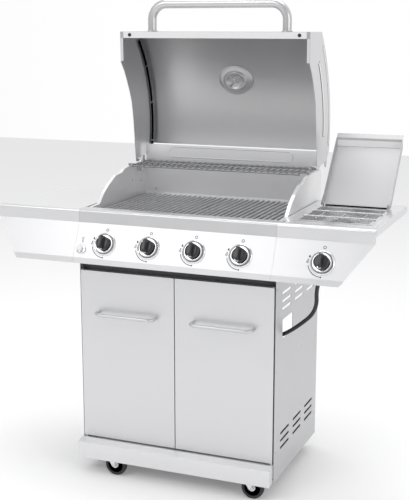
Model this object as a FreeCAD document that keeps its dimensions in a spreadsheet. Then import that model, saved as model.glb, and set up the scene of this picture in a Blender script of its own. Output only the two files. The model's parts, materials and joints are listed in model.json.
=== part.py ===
import FreeCAD, Part
import math
import os

import Sketcher
from FreeCAD import Placement, Rotation, Vector

# Four-burner gas grill on a two-door cart, with a side burner, lids open.
# Frame: X to the grill's left-right (the viewer's right is +X), Y to the back,
# Z up from the floor.  All sizes are in millimetres.

doc = FreeCAD.newDocument("gas_grill")

SIZES = {
    "sheet": 1.5,            # folded sheet thickness of the cart and panels
    "body_half": 345,        # half width of the cabinet
    "panel_half": 343,       # half width of the main control panel and lid
    "shelf_reach": 650,      # distance from the centre to a shelf's outer end
    "top_z": 905,            # working height of the shelves
    "band_z": 861,           # lower edge of the vertical front band
    "band_y": -257,          # front face of the band
    "face_low_y": -308,      # control face, lower edge
    "face_low_z": 753,
    "strip_y": -314,         # foot of the panel
    "strip_z": 735,
    "shelf_back": 213,
    "shelf_skirt": 24,       # depth of the shelf's folded edge
    "taper_top_x": 650,      # sloping outer ends of the fascias
    "taper_mid_x": 570,
    "taper_low_x": 555,
    "cab_back": 218,
    "cab_low": 48,
    "door_y": -262,          # front face of the doors
    "door_thick": 20,
    "door_rise": 4,          # gap from the skirt's ledge to the doors
    "door_high": 700,
    "door_edge": 340,        # outer edge of a door
    "door_gap": 1.5,         # half of the gap between the doors
    "hinge_x": 335,
    "hinge_y": -256,
    "floor_lift": 18,        # from the caster tops to the top of the cabinet floor
    "skirt_y": -302,
    "skirt_low": 50,
    "ledge_rise": 7,
    "knob_pitch": 157,
    "side_knob_x": 498,
    "knob_z": 799,
    "knob_rad": 24,
    "bezel_rad": 39,
    "stem_rad": 4,
    "fit": 0.06,             # running clearance of every bore round its pin
    "pin_rad": 2.5,          # door pins
    "post_rad": 5,           # caster posts
    "axle_rad": 4,
    "lid_pin_rad": 4,
    "side_pin_rad": 3,
    "burner_rad": 13,
    "button_x": -318,
    "button_z": 779,
    "wall_in": 329,          # inner face of the firebox's side walls
    "wall_out": 340.2,
    "wall_foot": 735,
    "tub_front": -200,
    "tub_over": 20,          # how far the firebox overhangs the cabinet's back
    "grate_z": 880,
    "bar_rad": 4,            # cooking grate bars
    "bar_pitch": 20,
    "rack_z": 1012,
    "rack_pitch": 22,
    "rear_top": 1071,
    "pivot_y": 189.5,        # lid hinge axis
    "pivot_z": 1022.5,
    "lid_front": -265,
    "lid_low": 899,
    "lid_brow": 1034,
    "hood_y": 67.9,          # centre of the hood's curve
    "hood_z": 690.3,
    "hood_rad": 477,
    "hood_end_y": 146,
    "lid_grip_rad": 15.4,
    "lid_grip_half": 245.5,
    "lid_grip_z": 957,       # height of the lid handle with the lid closed
    "lid_grip_out": 93.6,
    "side_axis_y": 95,       # side burner lid hinge axis
    "side_axis_z": 919,
    "side_mid_x": 500,
    "side_half": 115,
    "side_front": -184,      # inner edge of the closed side lid's front lip
    "well_front": -182,
    "well_back": 78,
    "wheel_rad": 38,
    "wheel_wide": 22,
    "caster_x": 246,
    "caster_front_y": -285,
    "caster_rear_y": 170,
    "trail": 38,             # wheel axle behind the swivel
    "caster_gap": 12,        # from the top of a wheel to the top of its fork
    "grip_rad": 6,           # door handle bar
    "grip_half": 110,
    "grip_drop": 140,        # below the top of the door
    "grip_out": 35,
    "hose_dia": 13,
    "button_rad": 7.5,
    "collar_rad": 16,
    "post_front": -238,      # door stop behind the doors
    "tray_z": 735,
}

sheet = doc.addObject("Spreadsheet::Sheet", "Sizes")
for row, (alias, value) in enumerate(SIZES.items(), start=1):
    sheet.set(f"A{row}", alias)
    sheet.set(f"B{row}", str(value))
    sheet.setAlias(f"B{row}", alias)
doc.recompute()


class Size:
    """A number that remembers the sheet formula it comes from."""

    def __init__(self, value, formula=None):
        self.value = float(value)
        self.formula = formula or f"({self.value:.6f})"

    def combine(self, other, sign, value):
        return Size(value, f"({self.formula} {sign} {sized(other).formula})")

    def __add__(self, other):
        return self.combine(other, "+", self.value + sized(other).value)

    def __radd__(self, other):
        return sized(other) + self

    def __sub__(self, other):
        return self.combine(other, "-", self.value - sized(other).value)

    def __rsub__(self, other):
        return sized(other) - self

    def __mul__(self, other):
        return self.combine(other, "*", self.value * sized(other).value)

    def __rmul__(self, other):
        return self * other

    def __truediv__(self, other):
        return self.combine(other, "/", self.value / sized(other).value)

    def __neg__(self):
        return self * -1


def sized(value):
    return value if isinstance(value, Size) else Size(value)


def dim(alias):
    return Size(sheet.get(alias), f"Sizes.{alias}")


class Names:
    """Every size of the sheet as an attribute."""


D = Names()
for alias in SIZES:
    setattr(D, alias, dim(alias))
# Heights that follow from the casters the cart stands on.
D.caster_top = D.wheel_rad * 2 + D.caster_gap
D.floor_z = D.caster_top + D.floor_lift
D.skirt_high = D.floor_z
D.ledge_z = D.floor_z + D.ledge_rise
D.door_low = D.ledge_z + D.door_rise
D.grip_z = D.door_high - D.grip_drop
D.tub_back = D.cab_back + D.tub_over

counter = {"used": 0}


def fresh(stem):
    counter["used"] += 1
    return f"{stem}_{counter['used']}"


def bind(thing, prop, value):
    thing.setExpression(prop, sized(value).formula)


def box(x, y, z):
    """A block between two limits on each axis."""
    block = doc.addObject("Part::Box", fresh("block"))
    for prop, axis, (low, high) in (("Length", "x", x), ("Width", "y", y), ("Height", "z", z)):
        bind(block, prop, sized(high) - low)
        bind(block, f"Placement.Base.{axis}", low)
    return block


TURN = {
    "x": Rotation(Vector(0, 1, 0), 90),
    "y": Rotation(Vector(1, 0, 0), -90),
    "z": Rotation(),
}


def rod(radius, start, length, axis="z", turn=None):
    """A round bar from a start point along an axis."""
    bar = doc.addObject("Part::Cylinder", fresh("rod"))
    bar.Placement = Placement(Vector(), turn or TURN[axis])
    bind(bar, "Radius", radius)
    bind(bar, "Height", length)
    for letter, value in zip("xyz", start):
        bind(bar, f"Placement.Base.{letter}", value)
    return bar


def arc_geometry(start, end, radius):
    """An arc from start to end; a positive radius bulges to the left of travel."""
    dx, dy = end[0] - start[0], end[1] - start[1]
    chord = math.hypot(dx, dy)
    rise = math.sqrt(max(radius * radius - chord * chord / 4, 0))
    side = 1 if radius < 0 else -1
    middle = ((start[0] + end[0]) / 2 - side * dy / chord * rise,
              (start[1] + end[1]) / 2 + side * dx / chord * rise)
    first = math.atan2(start[1] - middle[1], start[0] - middle[0])
    last = math.atan2(end[1] - middle[1], end[0] - middle[0])
    circle = Part.Circle(Vector(middle[0], middle[1], 0), Vector(0, 0, 1), abs(radius))
    if radius < 0:
        return Part.ArcOfCircle(circle, first, last), (1, 2)
    return Part.ArcOfCircle(circle, last, first), (2, 1)


def draw(sketch, outline):
    """Draws one closed outline; an item is (u, v) or (u, v, radius of the next edge)."""
    points = [(sized(item[0]), sized(item[1])) for item in outline]
    edges = []
    for index, item in enumerate(outline):
        start = tuple(part.value for part in points[index])
        end = tuple(part.value for part in points[(index + 1) % len(points)])
        if len(item) == 3:
            curve, ends = arc_geometry(start, end, sized(item[2]).value)
        else:
            curve, ends = Part.LineSegment(Vector(*start, 0), Vector(*end, 0)), (1, 2)
        edges.append((sketch.addGeometry(curve, False), ends))
    for index, (edge, ends) in enumerate(edges):
        following, next_ends = edges[(index + 1) % len(edges)]
        sketch.addConstraint(Sketcher.Constraint(
            "Coincident", edge, ends[1], following, next_ends[0]))
        for kind, value in zip(("DistanceX", "DistanceY"), points[index]):
            number = sketch.addConstraint(Sketcher.Constraint(
                kind, -1, 1, edge, ends[0], value.value))
            sketch.setExpression(f"Constraints[{number}]", value.formula)
        if len(outline[index]) == 3:
            size = sized(outline[index][2])
            number = sketch.addConstraint(Sketcher.Constraint("Radius", edge, abs(size.value)))
            sketch.setExpression(f"Constraints[{number}]", f"abs({size.formula})")


def plate(plane, low, high, *outlines):
    """A PartDesign body: outlines on an origin plane, padded between two levels."""
    body = doc.addObject("PartDesign::Body", fresh("plate"))
    sketch = body.newObject("Sketcher::SketchObject", fresh("outline"))
    origin = [f for f in body.Origin.OriginFeatures if f.Role == f"{plane}_Plane"][0]
    sketch.AttachmentSupport = [(origin, "")]
    sketch.MapMode = "FlatFace"
    start = -sized(high) if plane == "XZ" else sized(low)
    bind(sketch, "AttachmentOffset.Base.z", start)
    for outline in outlines:
        draw(sketch, outline)
    pad = body.newObject("PartDesign::Pad", fresh("pad"))
    pad.Profile = sketch
    bind(pad, "Length", sized(high) - low)
    return body


def fuse(*things):
    joined = doc.addObject("Part::MultiFuse", fresh("join"))
    joined.Shapes = list(things)
    joined.Refine = True
    return joined


def cut(base, *tools):
    tool = tools[0] if len(tools) == 1 else fuse(*tools)
    result = doc.addObject("Part::Cut", fresh("cut"))
    result.Base = base
    result.Tool = tool
    result.Refine = False
    return result


def group(*things):
    """Separate solids kept side by side as one node."""
    bundle = doc.addObject("Part::Compound", fresh("group"))
    bundle.Links = list(things)
    return bundle


def mirrored(thing):
    """The same part on the other side of the centre plane."""
    twin = doc.addObject("Part::Mirroring", fresh("mirror"))
    twin.Source = thing
    twin.Normal = Vector(1, 0, 0)
    twin.Base = Vector(0, 0, 0)
    return twin


def made(shape, placement=None):
    """A shape computed from the sheet's sizes where no feature fits."""
    thing = doc.addObject("Part::Feature", fresh("shape"))
    thing.Shape = shape
    if placement:
        thing.Placement = placement
    return thing


nodes = {}


def keep(name, thing):
    thing.Label = name
    nodes[name] = thing
    return thing


def rect(u0, u1, v0, v1):
    return [(u0, v0), (u1, v0), (u1, v1), (u0, v1)]


def slot(u0, u1, v0, v1):
    """A rectangle with round ends."""
    half = (sized(v1) - v0) / 2
    bow = -half * 1.04
    return [(u0 + half, v0), (u1 - half, v0, bow), (u1 - half, v1), (u0 + half, v1, bow)]


def bent_tube(points, radius, bends):
    """A round bar along straight runs joined by tangent arcs."""
    points = [Vector(*point) for point in points]
    edges = []
    start = points[0]
    for before, corner, after, bend in zip(points, points[1:], points[2:], bends):
        back = (before - corner).normalize()
        ahead = (after - corner).normalize()
        half_turn = (math.pi - back.getAngle(ahead)) / 2
        reach = bend * math.tan(half_turn)
        first = corner + back * reach
        last = corner + ahead * reach
        bisector = (back + ahead).normalize()
        middle = corner + bisector * (bend / math.cos(half_turn) - bend)
        edges.append(Part.LineSegment(start, first).toShape())
        edges.append(Part.Arc(first, middle, last).toShape())
        start = last
    edges.append(Part.LineSegment(start, points[-1]).toShape())
    wire = Part.Wire(edges)
    direction = points[1] - points[0]
    ring = Part.Wire(Part.makeCircle(radius, points[0], direction))
    return wire.makePipeShell([ring], True, False)


# ---------------------------------------------------------------- cabinet
S = D.sheet
inner = D.body_half - S

pads = [box((x - 32, x + 32), span, (D.caster_top, D.floor_z - S))
        for x in (-D.caster_x, D.caster_x)
        for span in ((D.caster_front_y - 13, -215), (D.caster_rear_y - 32, D.caster_rear_y + 32))]
floor_plate = box((-inner, inner), (-242, D.cab_back - S), (D.floor_z - S, D.floor_z))
sockets = [rod(D.post_rad + D.fit, (x, y, D.caster_top - 1), 13)
           for x in (-D.caster_x, D.caster_x) for y in (D.caster_front_y, D.caster_rear_y)]
keep("base_pan", cut(fuse(floor_plate, *pads), *sockets))

skirt_shell = plate("YZ", -D.body_half, D.body_half, [
    (D.skirt_y, D.skirt_low), (D.skirt_y + S, D.skirt_low), (D.skirt_y + S, D.skirt_high - 1),
    (-272, D.ledge_z - S), (-260, D.ledge_z - S), (-260, D.ledge_z), (-272.3, D.ledge_z),
    (D.skirt_y, D.skirt_high)])
skirt_ledge = box((-inner, inner), (-260, -241), (D.ledge_z - S, D.ledge_z))
skirt_foot = box((-inner, inner), (-242.5, -241), (D.floor_z, D.ledge_z - S))
skirt_ends = [plate("YZ", x, x + S, [
    (D.skirt_y + S, D.skirt_low), (-262, D.skirt_low), (-262, D.ledge_z - S),
    (-272, D.ledge_z - S), (D.skirt_y + S, D.skirt_high - 1)]) for x in (-inner - S + 3, inner - 3)]
keep("front_skirt", fuse(skirt_shell, skirt_ledge, skirt_foot, *skirt_ends))

side_sheet = plate("YZ", inner, D.body_half,
                   rect(-258, D.cab_back, D.cab_low, D.strip_z))
side_fold = box((inner - 18, inner), (D.cab_back - S, D.cab_back), (D.floor_z, D.strip_z))
side_foot = box((inner - 12, inner), (-236, D.cab_back - S), (D.cab_low, D.cab_low + S))
columns = ((-195, -101), (-59, 33), (75, 169))
rows = (145, 170, 195, 615, 640, 667)
vents = plate("YZ", inner - 1, D.body_half + 1,
              *[slot(sized(a), sized(b), sized(z) - 4.5, sized(z) + 4.5)
                for a, b in columns for z in rows])
right_skin = fuse(side_sheet, side_fold, side_foot)
port = plate("YZ", inner - 1, D.body_half + 1, [
    (-181, 516), (-88, 516, -8), (-80, 524), (-80, 572, -8), (-88, 580), (-181, 580, -8),
    (-189, 572), (-189, 524, -8)])
spare_holes = [rod(2, (inner - 1, y, z), S + 2, "x") for y, z in ((38, 456), (24, 434))]
keep("side_right", cut(right_skin, vents, port, *spare_holes))
keep("side_left", mirrored(cut(right_skin, vents)))

rear_sheet = box((-inner + 18.5, inner - 18.5), (D.cab_back - S, D.cab_back), (D.floor_z, 380))
rear_fold = box((-inner + 18.5, inner - 18.5), (D.cab_back - 14, D.cab_back - S), (380 - S, 380))
keep("rear_panel", fuse(rear_sheet, rear_fold))

stop = D.post_front
rail_back = D.cab_back - 2
rails = []
for low, high, web in ((stop, stop + 22, stop), (rail_back - 22, rail_back, rail_back - S)):
    rails.append(fuse(
        box((-inner, inner), (web, web + S), (D.door_high - 12, D.strip_z)),
        box((-inner, inner), (low, high), (D.strip_z - S, D.strip_z)),
        box((-inner, inner), (low, high), (D.door_high + 3, D.door_high + 3 + S))))
hinge_ears = [box((x - 7, x + 7), (D.door_y + 1, stop + S), (D.door_high + 3, D.door_high + 3 + S))
              for x in (-D.hinge_x, D.hinge_x)]
runners = [box((x - 12, x + 12), (stop + 8, rail_back - 16), (D.strip_z - S, D.strip_z))
           for x in (-278, 278)]
post_span = (D.floor_z, D.door_high)
centre_post = fuse(box((-12, 12), (stop, stop + S), post_span),
                   box((-12, -12 + S), (stop, stop + 14), post_span),
                   box((12 - S, 12), (stop, stop + 14), post_span))
corner_posts = [box(x, (stop, stop + S), post_span)
                for x in ((-inner, -inner + 16), (inner - 16, inner))]
keep("top_rails", fuse(*rails, *hinge_ears, *runners, centre_post, *corner_posts))

pins = []
for side in (-1, 1):
    x = D.hinge_x * side
    foot_pin = fuse(rod(D.pin_rad * 2, (x, D.hinge_y, D.ledge_z), D.door_low - D.ledge_z),
                    rod(D.pin_rad, (x, D.hinge_y, D.ledge_z), 16))
    head_pin = rod(D.pin_rad, (x, D.hinge_y, D.door_high - 12), 15)
    pins += [foot_pin, head_pin]
keep("door_pins", group(*pins))


def door_shell():
    """The right-hand door: a folded pan with a hinge block at the top and bottom."""
    left, right = D.door_gap, D.door_edge
    back = D.door_y + D.door_thick
    skin = box((left, right), (D.door_y, back), (D.door_low, D.door_high))
    hollow = box((left + S, right - S), (D.door_y + S, back + 1),
                 (D.door_low + S, D.door_high - S))
    pan = cut(skin, hollow)
    low_block = box((right - 14, right - S / 2), (D.door_y + S / 2, back - 4),
                    (D.door_low + S / 2, D.door_low + 20))
    high_block = box((right - 14, right - S / 2), (D.door_y + S / 2, back - 4),
                     (D.door_high - 20, D.door_high - S / 2))
    stiffener = box((left + 40, right - 40), (D.door_y + S / 2, D.door_y + 8),
                    (D.grip_z + 30, D.grip_z + 45))
    bores = [rod(D.pin_rad + D.fit, (D.hinge_x, D.hinge_y, D.door_low - 1), 17),
             rod(D.pin_rad + D.fit, (D.hinge_x, D.hinge_y, D.door_high - 14), 15)]
    return cut(fuse(pan, low_block, high_block, stiffener), *bores)


right_door = door_shell()
keep("door_right", right_door)
keep("door_left", mirrored(door_shell()))


def door_grip(side):
    mid = sheet.get("door_edge") / 2 * side
    half, out = sheet.get("grip_half"), sheet.get("grip_out")
    face, level = sheet.get("door_y"), D.grip_z.value
    near, far = mid - half + 6, mid + half - 6
    return bent_tube([(near, face, level), (near, face - out, level),
                      (far, face - out, level), (far, face, level)],
                     sheet.get("grip_rad"), [20, 20])


keep("handle_left", made(door_grip(-1)))
keep("handle_right", made(door_grip(1)))

# ---------------------------------------------------------------- shelves and panel


def panel_profile():
    """Section of the main panel: deck, round nose, band, leaning face, foot."""
    return [
        (-212, D.top_z), (D.band_y + 10, D.top_z, -10), (D.band_y, D.top_z - 10),
        (D.band_y, D.band_z), (D.face_low_y, D.face_low_z), (D.strip_y, D.strip_z),
        (-264, D.strip_z), (-264, D.strip_z + S), (D.strip_y + 2, D.strip_z + S),
        (D.face_low_y + 1.6, D.face_low_z + 0.4), (D.band_y + S, D.band_z + 0.4),
        (D.band_y + S, D.top_z - 10, 8.5), (D.band_y + 10, D.top_z - S),
        (-212, D.top_z - S)]


def face_y(z):
    """Depth of the leaning control face at a height."""
    run = (D.face_low_y - D.band_y) / (D.face_low_z - D.band_z)
    return D.band_y + (sized(z) - D.band_z) * run


lean = math.atan2(sheet.get("band_y") - sheet.get("face_low_y"),
                  sheet.get("band_z") - sheet.get("face_low_z"))
knob_turn = Rotation(Vector(1, 0, 0), 90 - math.degrees(lean))
out_y, out_z = -math.cos(lean), math.sin(lean)
knob_xs = [D.knob_pitch * -1.5, D.knob_pitch * -0.5, D.knob_pitch * 0.5,
           D.knob_pitch * 1.5, D.side_knob_x]
knob_y = face_y(D.knob_z)


def on_face(x, y, z, radius, start, length):
    """A round bar square to the control face; start is measured outwards from it."""
    return rod(radius, (x, y + start * out_y, z + start * out_z), length, turn=knob_turn)


panel = plate("YZ", -D.panel_half, D.panel_half, panel_profile())
panel_holes = [on_face(x, knob_y, D.knob_z, D.stem_rad * 2, -6, 12) for x in knob_xs[:4]]
button_y = face_y(D.button_z)
panel_holes.append(on_face(D.button_x, button_y, D.button_z, D.button_rad + D.fit, -6, 12))
keep("control_panel", cut(panel, *panel_holes))


def shelf_body():
    """The right-hand shelf without its burner opening."""
    near, far = D.panel_half + 0.5, D.shelf_reach
    skin = plate("YZ", near, far, [
        (D.shelf_back, D.top_z - D.shelf_skirt), (D.shelf_back, D.top_z),
        (D.band_y + 10, D.top_z, -10), (D.band_y, D.top_z - 10), (D.band_y, D.band_z),
        (D.band_y + 12, D.band_z), (D.band_y + 12, D.band_z + S), (D.band_y + S, D.band_z + S),
        (D.band_y + S, D.top_z - 10, 8.5), (D.band_y + 10, D.top_z - S),
        (D.shelf_back - S, D.top_z - S), (D.shelf_back - S, D.top_z - D.shelf_skirt)])
    ends = []
    for x in (near, far - S):
        ends.append(box((x, x + S), (D.band_y + 9, D.shelf_back - S / 2),
                        (D.top_z - D.shelf_skirt, D.top_z - S / 2)))
        ends.append(box((x, x + S), (D.band_y + S / 2, D.band_y + 11),
                        (D.band_z + S / 2, D.top_z - 12)))
    return fuse(skin, *ends)


keep("left_shelf", mirrored(shelf_body()))
well = box((D.side_mid_x - D.side_half, D.side_mid_x + D.side_half),
           (D.well_front, D.well_back), (D.top_z - 5, D.top_z + 5))
keep("right_shelf", cut(shelf_body(), well))


def fascia_body():
    near, far = D.panel_half + 0.5, D.shelf_reach
    skin = plate("YZ", near, far, [
        (D.band_y, D.band_z - 0.2), (D.face_low_y, D.face_low_z), (D.strip_y, D.strip_z),
        (-264, D.strip_z), (-264, D.strip_z + S), (D.strip_y + 2, D.strip_z + S),
        (D.face_low_y + 1.6, D.face_low_z + 0.4), (D.band_y + 1.6, D.band_z - 0.2)])
    taper = plate("XZ", -340, -250, [
        (D.taper_top_x, D.band_z + 1), (D.taper_top_x, D.band_z), (D.taper_mid_x, D.face_low_z),
        (D.taper_low_x, D.strip_z), (D.taper_low_x, D.strip_z - 5), (D.shelf_reach + 20, D.strip_z - 5),
        (D.shelf_reach + 20, D.band_z + 1)])
    inner_end = plate("YZ", near, near + S, [
        (D.band_y + 1, D.band_z - 0.2), (D.face_low_y + 1, D.face_low_z),
        (D.strip_y + 1, D.strip_z + 0.5), (-264, D.strip_z + 0.5), (-246, D.band_z - 0.2)])
    return fuse(cut(skin, taper), inner_end)


keep("left_fascia", mirrored(fascia_body()))
keep("right_fascia", cut(fascia_body(), on_face(D.side_knob_x, knob_y, D.knob_z, D.stem_rad * 2, -6, 12)))

# ---------------------------------------------------------------- firebox
tub_profile = [
    (D.tub_front, 893), (D.tub_front, 790), (-60, 765), (80, 765), (D.tub_back - 16, 790),
    (D.tub_back, 893), (D.tub_back - 2, 893), (D.tub_back - 17.4, 792), (79, 767), (-59, 767),
    (D.tub_front + 2, 791), (D.tub_front + 2, 893)]
tub = plate("YZ", -D.wall_in, D.wall_in, tub_profile)
ledges = [box((-D.wall_in, D.wall_in), (D.tub_front + 1, D.tub_front + 14),
              (D.grate_z - 2, D.grate_z)),
          box((-D.wall_in, D.wall_in), (D.tub_back - 16, D.tub_back - 1.5),
              (D.grate_z - 2, D.grate_z)),
          box((-D.wall_in, D.wall_in), (D.tub_front + 1, D.tub_front + 10), (833, 835)),
          box((-D.wall_in, D.wall_in), (D.tub_back - 20, D.tub_back - 10), (833, 835)),
          box((-D.wall_in, D.wall_in), (D.tub_back - 34, D.tub_back - 16),
              (810 - D.burner_rad, 812 - D.burner_rad))]
burner_ports = [rod(D.burner_rad + D.fit, (x, D.tub_front - 5, 812), 12, "y") for x in knob_xs[:4]]
drain = box((-90, 90), (-20, 40), (760, 770))
keep("firebox_tub", cut(fuse(tub, *ledges), drain, *burner_ports))

WALL_LINE = ((-137, 904), (-102, 937), (-59, 963), (-10, 985), (33, 989), (55, 999),
             (107, 1007), (160, 1008))
wall_outline = ([(sized(-236), D.wall_foot), (sized(-236), sized(896)), (sized(-190), sized(902))]
                + [(sized(y), sized(z)) for y, z in WALL_LINE]
                + [(D.tub_back + 4, sized(1008)), (D.tub_back + 4, D.wall_foot)])
wall = plate("YZ", D.wall_in, D.wall_out, wall_outline)
wall_void = plate("YZ", D.wall_in + S, D.wall_out - S, [
    (-220, D.wall_foot - 1), (-220, 880), (-120, 890), (-60, 930), (20, 960), (110, 980),
    (D.tub_back - 12, 985), (D.tub_back - 12, D.wall_foot - 1)])
keep("wall_right", cut(wall, wall_void))
keep("wall_left", mirrored(cut(wall, wall_void)))

rear_wall = box((-D.wall_in, D.wall_in), (D.tub_back, D.tub_back + 2), (860, D.rear_top))
rib_outer = plate("XZ", D.tub_back - 2.5, D.tub_back + 0.5, [
    (-222, 1026), (222, 1026, -16), (238, 1042), (238, 1046, -16), (222, 1062),
    (-222, 1062, -16), (-238, 1046), (-238, 1042, -16)])
rib_inner = plate("XZ", D.tub_back - 3, D.tub_back + 1, [
    (-220, 1029), (220, 1029, -14), (234, 1043), (234, 1045, -14), (220, 1059),
    (-220, 1059, -14), (-234, 1045), (-234, 1043, -14)])
keep("rear_wall", fuse(rear_wall, cut(rib_outer, rib_inner)))

arm_in = D.wall_in - 14
bracket = fuse(
    box((arm_in, arm_in + 3), (D.pivot_y - 11, D.pivot_y + 11), (975, D.pivot_z + 12)),
    box((arm_in, D.wall_in), (D.pivot_y - 11, D.pivot_y + 11), (975, 978)),
    rod(D.lid_pin_rad, (arm_in, D.pivot_y, D.pivot_z), D.panel_half - arm_in - 0.2, "x"))
keep("lid_brackets", group(bracket, mirrored(bracket)))

burner_tubes = []
for x in knob_xs[:4]:
    tube = fuse(rod(D.burner_rad, (x, -216, 812), 430, "y"), rod(9, (x, -219, 812), 4, "y"))
    burner_tubes.append(cut(tube, rod(6, (x, -222, 812), 60, "y")))
keep("burners", group(*burner_tubes))

tamers = []
for x in knob_xs[:4]:
    tamers.append(plate("XZ", D.tub_front + 4, D.tub_back - 14, [
        (x - 44, 835), (x, 864), (x + 44, 835), (x + 42, 835), (x, 862.4), (x - 42, 835)]))
keep("flame_tamers", group(*tamers))


def grate():
    """Right-hand cooking grate: bars along Y on three cross bars."""
    bars = []
    count = 16
    half = D.bar_rad - 0.5
    for index in range(count):
        x = 12 + D.bar_pitch * index
        bars.append(box((x - half, x + half), (D.tub_front + 8, D.tub_back - 6),
                        (D.grate_z + 2, D.grate_z + 2 + D.bar_rad * 2)))
    for y in (D.tub_front + 12, sized(20), D.tub_back - 10):
        bars.append(box((9, 15 + D.bar_pitch * (count - 1)), (y - 3, y + 3),
                        (D.grate_z, D.grate_z + 5)))
    return fuse(*bars)


keep("grate_right", grate())
keep("grate_left", mirrored(grate()))

rack_half = arm_in - 2
hook_out = D.wall_in + 8
wires = [rod(2.5, (-rack_half, y, D.rack_z - 3), rack_half * 2, "x") for y in (76, 153, 231)]
wires += [rod(1.75, (D.rack_pitch * n, 74, D.rack_z), 159, "y") for n in range(-14, 15)]
rack_hooks = [rod(2, (-hook_out, y, D.rack_z), hook_out * 2, "x") for y in (107, 215.5)]
rack_feet = [box((x, x + 8), (y - 2, y + 2), (foot, D.rack_z))
             for x in (-hook_out, hook_out - 8) for y, foot in ((107, 1007.1), (215.5, 1008))]
keep("warming_rack", fuse(*wires, *rack_hooks, *rack_feet))

# ---------------------------------------------------------------- gas side
manifold_y, manifold_z = -233, 762
hose_end = (305, -207, 740.7)
feed = fuse(rod(9, (-300, manifold_y, manifold_z), 612, "x"),
            rod(7.5, (hose_end[0], manifold_y, manifold_z), 36, "y"),
            rod(6.8, hose_end, manifold_z - hose_end[2]),
            rod(11, (-316, manifold_y, manifold_z), 16, "x"))
keep("manifold", feed)

HOSE_ROUTE = [(484, -219, 757), (452, -187, 705), (452, -168, 615), (385, -150, 552),
              (330, -160, 516), (250, -178, 498), (225, -180, 580), (262, -180, 645),
              (303, -204, 692), (305, -207, 740)]
nipple_way = (Vector(*HOSE_ROUTE[0]) - Vector(*HOSE_ROUTE[1])).normalize()
nipple = made(Part.makeCylinder(7.5, 24, Vector(*HOSE_ROUTE[0]), nipple_way))
valves = []
for x in knob_xs:
    block = box((x - 8, x + 8), (-241, -226), (manifold_z + 9, 818))
    core = on_face(x, knob_y, D.knob_z, 10, -52, 42)
    jet = rod(5.4, (x, -232, 812), 22, "y")
    bore = on_face(x, knob_y, D.knob_z, D.stem_rad + D.fit, -25, 20)
    pieces = [block, core, jet]
    if x is D.side_knob_x:
        pieces.append(nipple)
    valves.append(cut(fuse(*pieces), bore))
keep("valves", group(*valves))

for index, x in enumerate(knob_xs, start=1):
    keep(f"stem_{index}", on_face(x, knob_y, D.knob_z, D.stem_rad, -21, 50))

for index, x in enumerate(knob_xs, start=1):
    dial = on_face(x, knob_y, D.knob_z, D.knob_rad, 12, 18)
    grip = plate("XY", 20, 44, [(-6, -17), (6, -17), (6, 17), (-6, 17)])
    grip.Placement = Placement(Vector(x.value, knob_y.value, sheet.get("knob_z")), knob_turn)
    bore = on_face(x, knob_y, D.knob_z, D.stem_rad + D.fit, 10, 20)
    keep(f"knob_{index}", cut(fuse(dial, grip), bore))

rings = []
for x in knob_xs:
    ring = fuse(on_face(x, knob_y, D.knob_z, D.bezel_rad, 0, 4),
                on_face(x, knob_y, D.knob_z, D.bezel_rad - 5, 3, 5))
    rings.append(cut(ring, on_face(x, knob_y, D.knob_z, D.stem_rad * 2, -1, 12)))
rings.append(cut(on_face(D.button_x, button_y, D.button_z, D.collar_rad, 0, 5),
                 on_face(D.button_x, button_y, D.button_z, D.button_rad + D.fit, -1, 8)))
keep("bezels", group(*rings))

keep("igniter_button", fuse(
    on_face(D.button_x, button_y, D.button_z, D.button_rad, -12, 24),
    on_face(D.button_x, button_y, D.button_z, D.button_rad + 3, 10.5, 7),
    on_face(D.button_x, button_y, D.button_z, D.button_rad + 2, -14, 3)))

tray_back = D.tub_back - 2
tray_skin = box((-282, 282), (-190, tray_back), (D.tray_z, D.tray_z + 20))
tray_hollow = box((-282 + S, 282 - S), (-190 + S, tray_back - S), (D.tray_z + S, D.tray_z + 21))
tray_pull = box((-60, 60), (tray_back - 1, tray_back + 16), (D.tray_z + 14, D.tray_z + 16))
keep("grease_tray", fuse(cut(tray_skin, tray_hollow), tray_pull))

# ---------------------------------------------------------------- side burner
mid = D.side_mid_x
bowl_skin = box((mid - 113, mid + 113), (D.well_front + 2, D.well_back - 2), (872, D.top_z + 0.5))
bowl_rim = box((mid - 122, mid + 122), (D.well_front - 7, D.well_back + 7),
               (D.top_z, D.top_z + S))
bowl_hollow = box((mid - 111.5, mid + 111.5), (D.well_front + 3.5, D.well_back - 3.5),
                  (872 + S, D.top_z + 3))
bowl_port = rod(9, (D.side_knob_x, -62, 870), 6)
keep("side_bowl", cut(fuse(bowl_skin, bowl_rim), bowl_hollow, bowl_port))

pipe_x = D.side_knob_x
feed_tube = fuse(rod(11, (pipe_x, -216, 812), 170, "y"), rod(8, (pipe_x, -62, 812), 66),
                 rod(42, (pipe_x, -62, 876), 10), rod(30, (pipe_x, -62, 886), 4))
keep("side_burner_head", cut(feed_tube, rod(6, (pipe_x, -222, 812), 60, "y")))

trivet_z = D.top_z + S + 2.5
trivet = [rod(2.5, (mid - 117, y, trivet_z), 234, "x") for y in (-112, -12)]
trivet += [rod(2.5, (mid + x, -142, trivet_z - 3.5), 160, "y") for x in (-70, 0, 70)]
keep("side_grate", fuse(*trivet))

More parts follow.
